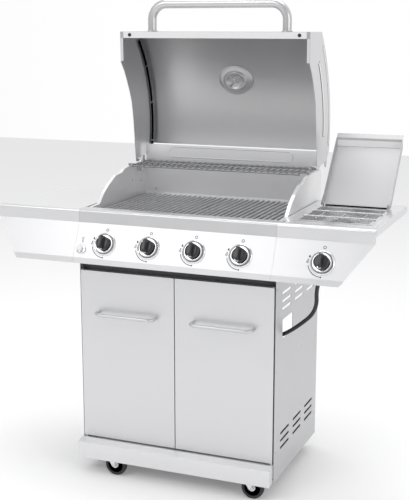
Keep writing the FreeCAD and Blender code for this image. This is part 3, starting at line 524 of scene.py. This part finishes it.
def gauge():
    """The gauge through the hood: nut, studs and stem inside, and rim and dial outside."""
    at = on_hood(0, GAUGE_ANGLE, HOOD_R)
    out = (on_hood(0, GAUGE_ANGLE, HOOD_R + 1) - at).normalized()
    u, v, n = axes_from(out)
    hexagon = [on_circle(11, 60 * k) for k in range(6)]
    nut = new_mesh("gauge_nut", *joined(slab(hexagon, at, u, v, n, -15, -8.2),
                                        lathe(STEM, at, out, 28)))
    finish_piece(nut, "lid", wire_plated)
    studs = []
    for angle in (35, 145, 215, 325):
        a, b = on_circle(22, angle)
        studs.append(lathe(STUD, at + u * a + v * b, out, 16))
    finish_piece(new_mesh("gauge_studs", *joined(*studs)), "lid", wire_plated)
    rim = new_mesh("gauge_rim", *lathe(RIM, at, out, 64))
    finish_piece(rim, "lid", chrome, ["gauge"])
    finish_piece(new_mesh("gauge_dial", *lathe(DIAL, at, out)), "lid", dial_white)
    ticks = []
    for step in range(25):
        a, b = on_circle(1, -45 - step * 11.25)
        radial = u * a + v * b
        length = 6 if step % 4 == 0 else 3.4
        tick = [(30 - length, -0.35), (30, -0.35), (30, 0.35), (30 - length, 0.35)]
        ticks.append(slab(tick, at, radial, n.cross(radial), n, 8.85, 9.1))
    a, b = on_circle(1, -60)
    radial = u * a + v * b
    pointer = [(-7, -1.1), (24, -0.3), (24, 0.3), (-7, 1.1)]
    ticks.append(slab(pointer, at, radial, n.cross(radial), n, 9.2, 9.7))
    ticks.append(lathe(PIN, at, out, 20))
    finish_piece(new_mesh("gauge_ticks", *joined(*ticks)), "lid", ink)


gauge_dish()
gauge()


# ------------------------------------------------------------------ lid
def ring_plate(side, x, thick, inner, outer, start, end, count=24):
    """A flat plate between two radii about the hood's curve."""
    points, faces = [], []
    for k in range(count + 1):
        angle = start + (end - start) * k / count
        for depth in (x, x + thick):
            for radius in (inner, outer):
                points.append(on_hood(side * depth, angle, radius))
    for k in range(count):
        a, b = 4 * k, 4 * (k + 1)
        for j, m in ((0, 1), (1, 3), (3, 2), (2, 0)):
            faces.append((a + j, a + m, b + m, b + j))
    faces += [(0, 1, 3, 2), (4 * count, 4 * count + 1, 4 * count + 3, 4 * count + 2)]
    return points, faces


BOX_FACES = [(0, 1, 2, 3), (4, 5, 6, 7), (0, 1, 5, 4), (1, 2, 6, 5), (2, 3, 7, 6), (3, 0, 4, 7)]


def lid_plate(side, corners, thick):
    """A quadrilateral sheet on the closed lid, thickened along z."""
    points = [opened(side * x, y, z + rise) for rise in (0, thick) for x, y, z in corners]
    return points, BOX_FACES


LIP_LOW, LIP_THICK = 898.6, 0.3
SLOT_X, LINER_X, FLANGE_X, CAP_X = 336.4, 337.4, 341.2, 343.1
SLOT_SPANS = ((-41, -27.2), (-26.6, -9.6), (-9.0, 8.2), (8.8, 16.0))
# Bright beads are painted highlights; the dark lines beside them are painted shade.
HIGHLIGHT_BEADS = ((386, 397, -36, 3), (455, 459, -38, 7))
SHADE_LINES = ((383.4, 385.8, -36.4, 3.4), (397.2, 399.4, -36.4, 3.4), (459.2, 461.0, -38.4, 7.4))
CRESCENT_LEVELS = ((389, 0.0), (392, 1.1), (396, 1.5), (450, 1.5), (454, 1.1), (457, 0.0))
CRESCENT_X, CRESCENT_MIDDLE, CRESCENT_START, CRESCENT_TURN = 341.6, 423, -39, 47


def cap_crescent(side, tag, count=44):
    """The pressed crescent on a cap's outer face, narrowing at both ends."""
    points, faces = [], []
    for k in range(count + 1):
        angle = CRESCENT_START + CRESCENT_TURN * k / count
        fade = min(1, k / 5, (count - k) / 5)
        width = 0.25 + 0.75 * math.sin(math.pi / 2 * fade)
        for radius, rise in CRESCENT_LEVELS:
            span = CRESCENT_MIDDLE + (radius - CRESCENT_MIDDLE) * width
            points.append(on_hood(side * (CRESCENT_X + rise * 0.93), angle, span))
    wide = len(CRESCENT_LEVELS)
    for k in range(count):
        for j in range(wide - 1):
            faces.append((k * wide + j, k * wide + j + 1,
                          (k + 1) * wide + j + 1, (k + 1) * wide + j))
    crescent = new_mesh(f"cap_crescent_{tag}", points, faces)
    finish_piece(crescent, "lid", brushed_x, smooth=60)


def cap_trim(side, tag):
    """Black plates in the slots as painted shadow, liner, flange, beads painted bright as highlights,
    and dark lines beside them as painted shade, of one end cap.
    """
    slots = [ring_plate(side, SLOT_X, 0.8, 450, 467, start, end) for start, end in SLOT_SPANS]
    finish_piece(new_mesh(f"lid_slot_shadow_{tag}", *joined(*slots)), "lid", shadow_black)
    liner = ring_plate(side, LINER_X, 0.8, 448, 474, -41.6, 17, 40)
    finish_piece(new_mesh(f"lid_liner_{tag}", *liner), "lid", lid_steel)
    flange = lid_plate(side, ((FLANGE_X, -263, 899), (332, -263, 899), (332, -165, 900.6),
                              (FLANGE_X, -165, 900.6)), 1.2)
    finish_piece(new_mesh(f"lid_flange_{tag}", *flange), "lid", brushed_x)
    beads = [ring_plate(side, CAP_X, 1.4, *bead, 30) for bead in HIGHLIGHT_BEADS]
    finish_piece(new_mesh(f"cap_highlight_beads_{tag}", *joined(*beads)), "lid", painted_highlight)
    shade_lines = [ring_plate(side, CAP_X, 0.9, *seam, 30) for seam in SHADE_LINES]
    finish_piece(new_mesh(f"cap_shade_lines_{tag}", *joined(*shade_lines)), "lid", shade_steel)


# A thin bright plate under the lid's front lip: a painted highlight along the edge.
lip = lid_plate(1, ((-330, -264.6, LIP_LOW), (330, -264.6, LIP_LOW), (330, -243.4, LIP_LOW),
                    (-330, -243.4, LIP_LOW)), LIP_THICK)
finish_piece(new_mesh("lid_lip_highlight", *lip), "lid", painted_highlight)
for side, tag in SIDES:
    cap_trim(side, tag)
    cap_crescent(side, tag)

# ------------------------------------------------------------------ handles
LID_BAR_X, LID_BAR_Y, LID_BAR_Z, LID_BAR_R = 245.5, -358.6, 957, 15.4
LID_FRONT = -265
FLANGE = [(15.6, 0.2), (18.6, 0.2), (19, 1.0), (18.4, 2.6), (17, 3.4), (15.6, 3.6), (15.6, 0.2)]
DOOR_MID, DOOR_BAR_HALF, DOOR_BAR_Z, DOOR_BAR_R = 170, 104, 560, 6
DOOR_FACE, DOOR_BAR_Y = -262, -297


def lid_handle():
    """The bent bar on the lid, with a flange at each foot."""
    corners = [opened(-LID_BAR_X, LID_FRONT - 1, LID_BAR_Z), opened(-LID_BAR_X, LID_BAR_Y, LID_BAR_Z),
               opened(LID_BAR_X, LID_BAR_Y, LID_BAR_Z), opened(LID_BAR_X, LID_FRONT - 1, LID_BAR_Z)]
    bar = tube("lid_bar", rounded_path(corners, 54, 18), LID_BAR_R, 12)
    finish_piece(bar, "lid", bar_steel, ["lid_handle"], 60)
    flanges = [lathe(FLANGE, opened(x, LID_FRONT, LID_BAR_Z), EZ, 40)
               for x in (-LID_BAR_X, LID_BAR_X)]
    finish_piece(new_mesh("lid_bar_flanges", *joined(*flanges)), "lid", bar_steel)


def door_handle(side, tag):
    """The bent bar on one door."""
    low, high = DOOR_MID * side - DOOR_BAR_HALF, DOOR_MID * side + DOOR_BAR_HALF
    corners = [(low, DOOR_FACE, DOOR_BAR_Z), (low, DOOR_BAR_Y, DOOR_BAR_Z),
               (high, DOOR_BAR_Y, DOOR_BAR_Z), (high, DOOR_FACE, DOOR_BAR_Z)]
    bar = tube(f"door_bar_{tag}", rounded_path(corners, 20, 12), DOOR_BAR_R, 8)
    finish_piece(bar, f"{tag}_door", bar_steel, [f"handle_{tag}"], 60)


lid_handle()
for side, tag in SIDES:
    door_handle(side, tag)

# ------------------------------------------------------------------ casters
TYRE = [(27.5, -8.4), (31, -9.6), (34.5, -9.4), (36.8, -7.6), (37.9, -4.0), (38.0, 0), (37.9, 4.0),
        (36.8, 7.6), (34.5, 9.4), (31, 9.6), (27.5, 8.4), (27.0, 5.0), (27.0, -5.0), (27.5, -8.4)]
HUB = [(4.3, -10.4), (10, -10.4), (11, -9.6), (11.6, -6.6), (24.4, -5.6), (26, -7.4), (27.4, -8.0),
       (27.4, 8.0), (26, 7.4), (24.4, 5.6), (11.6, 6.6), (11, 9.6), (10, 10.4), (4.3, 10.4),
       (4.3, -10.4)]
NUT = [(6.2, 0), (6.2, 2.2), (5, 3.2), (0, 3.4)]
FORK_HALF = 14


def caster(index, x, y):
    """Tyre, hub and axle nuts of one caster."""
    axle = (x + TRAIL, y, WHEEL_R)
    tyre = new_mesh(f"tyre_{index}", *lathe(TYRE, axle, EY, 64))
    finish_piece(tyre, f"wheel_{index}", tyre_black, [f"caster_wheel_{index}"], 50)
    hub = new_mesh(f"wheel_hub_{index}", *lathe(HUB, axle, EY))
    finish_piece(hub, f"wheel_{index}", hub_grey)
    nuts = [lathe(NUT, (axle[0], y + s * FORK_HALF, WHEEL_R), EY * s, 6) for s in (-1, 1)]
    pair = new_mesh(f"axle_nuts_{index}", *joined(*nuts))
    finish_piece(pair, f"caster_{index}", wire_plated)


for index, (x, y) in enumerate(CASTERS, start=1):
    caster(index, x, y)

# ------------------------------------------------------------------ hose, in metres
ROUTE = [(0.484, -0.219, 0.757), (0.452, -0.187, 0.705), (0.452, -0.168, 0.615),
         (0.385, -0.150, 0.552), (0.330, -0.160, 0.516), (0.250, -0.178, 0.498),
         (0.225, -0.180, 0.580), (0.262, -0.180, 0.645), (0.303, -0.204, 0.692),
         (0.305, -0.207, 0.740)]
HOSE_DIAMETER = 0.013
line = bpy.data.curves.new("burner_hose", "CURVE")
line.dimensions = "3D"
spline = line.splines.new("NURBS")
spline.points.add(len(ROUTE) - 1)
for target, point in zip(spline.points, ROUTE):
    target.co = (*point, 1)
spline.order_u = 3
spline.use_endpoint_u = True
spline.resolution_u = 24
line.bevel_depth = HOSE_DIAMETER / 2
line.bevel_resolution = 6
line.use_fill_caps = True
hose = placed("burner_hose", line)
finish_piece(hose, "cart", hose_black, ["hose"])

# ------------------------------------------------------------------ grates and side burner
GRATE_BARS, GRATE_FIRST, GRATE_PITCH, GRATE_R = 16, 12, 20, 3.9
GRATE_MIDDLE = 20
SURROUND_LOW, SURROUND_HIGH = SHELF_Z + 0.05, SHELF_Z + 0.5


def cooking_grate(side, tag):
    """Round bars from front to back on three cross bars."""
    low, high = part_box("grate_right")
    front, back = low[1] / MM, high[1] / MM
    bottom, top = low[2] / MM, high[2] / MM
    run = back - front
    rod = [(0, 0), (3.2, 0.1), (GRATE_R, 0.9), (GRATE_R, run - 0.9), (3.2, run - 0.1), (0, run)]
    bars = [lathe(rod, (side * (GRATE_FIRST + GRATE_PITCH * n), front, top - 4), EY, 14)
            for n in range(GRATE_BARS)]
    x0, x1 = sorted((side * 9, side * 315))
    for y in (front + 4, GRATE_MIDDLE, back - 4):
        bars.append(block(x0, x1, y - 3, y + 3, bottom, bottom + 5))
    grid = new_mesh(f"grate_bars_{tag}", *joined(*bars))
    finish_piece(grid, "cart", grate_steel, [f"grate_{tag}"])


def side_burner_surround_shade():
    """A thin plate on the shelf around the side burner's well, in darker steel: painted shade and
    reflection of the open side lid.
    """
    strips = [block(x0, x1, y0, y1, SURROUND_LOW, SURROUND_HIGH)
              for x0, x1, y0, y1 in ((352, 377, -240, 206), (623, 646, -240, 206),
                                     (377, 623, -240, -190), (377, 623, 86, 206))]
    plate = new_mesh("side_burner_surround_shade", *joined(*strips))
    finish_piece(plate, "cart", well_steel)


for side, tag in SIDES:
    cooking_grate(side, tag)
side_burner_surround_shade()

# ------------------------------------------------------------------ side lid
SIDE_AXIS_Y, SIDE_AXIS_Z, SIDE_OPEN = 95, 919, math.radians(-130.6)
SIDE_LID_X = (387.5, 612.5)
SLOPE = ((-149.9, 942.3), (-170.4, 923.2), (-170.0, 922.8), (-149.5, 941.9))


def side_opened(y, z):
    """A point of the closed side lid carried to its open place."""
    dy, dz = y - SIDE_AXIS_Y, z - SIDE_AXIS_Z
    return (SIDE_AXIS_Y + dy * math.cos(SIDE_OPEN) - dz * math.sin(SIDE_OPEN),
            SIDE_AXIS_Z + dy * math.sin(SIDE_OPEN) + dz * math.cos(SIDE_OPEN))


def side_lid_trim():
    """A black strip behind the well, painted shadow under the open lid, and a bright plate on the
    inner face of the lid's sloping front edge, a painted highlight.
    """
    shadow_strip = new_mesh("side_lid_shadow_strip", *block(392, 608, 115.5, 118.5, SHELF_Z + 0.1, SHELF_Z + 4.2))
    finish_piece(bevelled(shadow_strip, 0.4), "cart", shadow_black)
    points = [(x, *side_opened(y, z)) for x in SIDE_LID_X for y, z in SLOPE]
    slope = new_mesh("side_lid_slope_highlight", points, BOX_FACES)
    finish_piece(slope, "side_burner_lid", painted_highlight)


side_lid_trim()


# ------------------------------------------------------------------ rear wall
PRESSING_Z, PRESSING_WIDE = 1044, 3.8
PRESSING_HALF, PRESSING_HIGH = 239, 19


def rounded_slot(half_long, half_high, z):
    """Outline of a long round-ended slot about x = 0."""
    outline = []
    for centre, first in ((half_long - half_high, -90), (-(half_long - half_high), 90)):
        for step in range(13):
            u, v = on_circle(half_high, first + 15 * step)
            outline.append((centre + u, z + v))
    return outline


def rear_wall_groove_shade():
    """A dark line round the pressing on the rear wall: painted shade at the pressing's edge."""
    outer = rounded_slot(PRESSING_HALF, PRESSING_HIGH, PRESSING_Z)
    inner = rounded_slot(PRESSING_HALF - PRESSING_WIDE, PRESSING_HIGH - PRESSING_WIDE, PRESSING_Z)
    count = len(outer)
    points = [(u, y, v) for y in (REAR_WALL_Y - 0.8, REAR_WALL_Y - 0.2) for u, v in outer + inner]
    faces = []
    for k in range(count):
        m = (k + 1) % count
        for base in (0, 2 * count):
            faces.append((base + k, base + m, base + count + m, base + count + k))
        faces.append((k, m, 2 * count + m, 2 * count + k))
        faces.append((count + k, count + m, 3 * count + m, 3 * count + k))
    groove = new_mesh("rear_wall_groove_shade", points, faces)
    finish_piece(groove, "cart", shade_steel)


rear_wall_groove_shade()


# ------------------------------------------------------------------ screws
def screw(place, direction, radius=3.0, height=1.6):
    """A domed screw head with a recess."""
    profile = [(radius, 0.05), (radius, height * 0.45), (radius * 0.8, height * 0.85),
               (radius * 0.45, height), (radius * 0.3, height * 0.55), (0, height * 0.5)]
    return lathe(profile, place, direction, 20)


def screw_heads():
    """The screws of the cabinet's sides and back, the firebox and its walls."""
    heads = []
    for side in (-1, 1):
        for y, z in ((-244, 690), (-244, 420), (-244, 150), (200, 690), (200, 420), (200, 130)):
            heads.append(screw((side * CABINET_HALF, y, z), EX * side))
        for y, z in ((-60, 780), (200, 780), (60, 780)):
            heads.append(screw((side * WALL_OUT, y, z), EX * side))
    for x in (-290, -150, 0, 150, 290):
        heads.append(screw((x, CABINET_BACK, 130), EY))
    for x in (-290, 290):
        heads.append(screw((x, REAR_WALL_Y, 905), -EY))
    for y, z in ((120, 952), (40, 930), (190, 940)):
        for side in (-1, 1):
            heads.append(screw((side * WALL_IN, y, z), EX * -side, 3.4, 1.8))
    finish_piece(new_mesh("screw_heads", *joined(*heads)), "cart", wire_plated)


screw_heads()


# ------------------------------------------------------------------ floor, light, camera, in metres
def studio_floor():
    """A plain pale floor."""
    reach = 9000
    outline = [(-reach, -reach), (reach, -reach), (reach, reach), (-reach, reach)]
    floor = new_mesh("studio_floor", *slab(outline, (0, 0, 0), EX, EY, EZ, -20, 0))
    paper = plain("studio_paper", (0.93, 0.93, 0.93), 0, 0.9, 0.02, 0, 3, 0.004)
    shader = paper.node_tree.nodes["Principled BSDF"]
    shader.inputs["Emission Color"].default_value = (1, 1, 1, 1)
    shader.inputs["Emission Strength"].default_value = 0.12
    floor.data.materials.append(paper)


def studio_world():
    """Soft light from all round, brighter from behind the grill."""
    world = bpy.data.worlds.new("studio")
    bpy.context.scene.world = world
    world.use_nodes = True
    tree = world.node_tree
    back = tree.nodes["Background"]
    coords = tree.nodes.new("ShaderNodeTexCoord")
    split = tree.nodes.new("ShaderNodeSeparateXYZ")
    tree.links.new(coords.outputs["Generated"], split.inputs[0])
    ramp = tree.nodes.new("ShaderNodeValToRGB")
    ramp.color_ramp.elements[0].position = 0.30
    ramp.color_ramp.elements[0].color = (0.55, 0.55, 0.56, 1)
    ramp.color_ramp.elements[1].position = 0.95
    ramp.color_ramp.elements[1].color = (1.0, 1.0, 1.0, 1)
    lift = tree.nodes.new("ShaderNodeMapRange")
    lift.inputs["From Min"].default_value = -1
    lift.inputs["From Max"].default_value = 1
    tree.links.new(split.outputs["Y"], lift.inputs["Value"])
    tree.links.new(lift.outputs["Result"], ramp.inputs["Fac"])
    tree.links.new(ramp.outputs["Color"], back.inputs["Color"])
    back.inputs["Strength"].default_value = 1.0


def area_light(name, place, target, size, power):
    """A rectangular lamp aimed at a point."""
    data = bpy.data.lights.new(name, "AREA")
    data.shape = "RECTANGLE"
    data.size, data.size_y = size
    data.energy = power
    lamp = placed(name, data)
    lamp.location = place
    aim = Vector(target) - Vector(place)
    lamp.rotation_euler = aim.to_track_quat("-Z", "Y").to_euler()


def view_camera(place, azimuth, elevation, focal_length):
    """The camera at its place, turned to look in from its azimuth and elevation."""
    turn, rise = math.radians(azimuth), math.radians(elevation)
    behind = Vector((math.sin(turn) * math.cos(rise), -math.cos(turn) * math.cos(rise),
                     math.sin(rise)))
    lens = bpy.data.cameras.new("view")
    lens.lens = focal_length
    lens.sensor_width = 36
    lens.clip_end = 60
    camera = placed("view", lens)
    camera.location = place
    camera.rotation_euler = (-behind).to_track_quat("-Z", "Y").to_euler()
    bpy.context.scene.camera = camera


studio_floor()
studio_world()
area_light("key", (-1.6, -3.2, 3.2), (0, 0, 0.8), (2.4, 2.0), 36)
area_light("fill", (3.4, -1.6, 1.8), (0, 0, 0.8), (1.6, 2.4), 22)
area_light("top", (0, 0.4, 4.2), (0, 0, 0.9), (3.0, 2.2), 50)
view_camera((1.3244, -3.2815, 1.500), 21.98, 12.085, 75.75)
bpy.context.scene.view_settings.view_transform = "Standard"
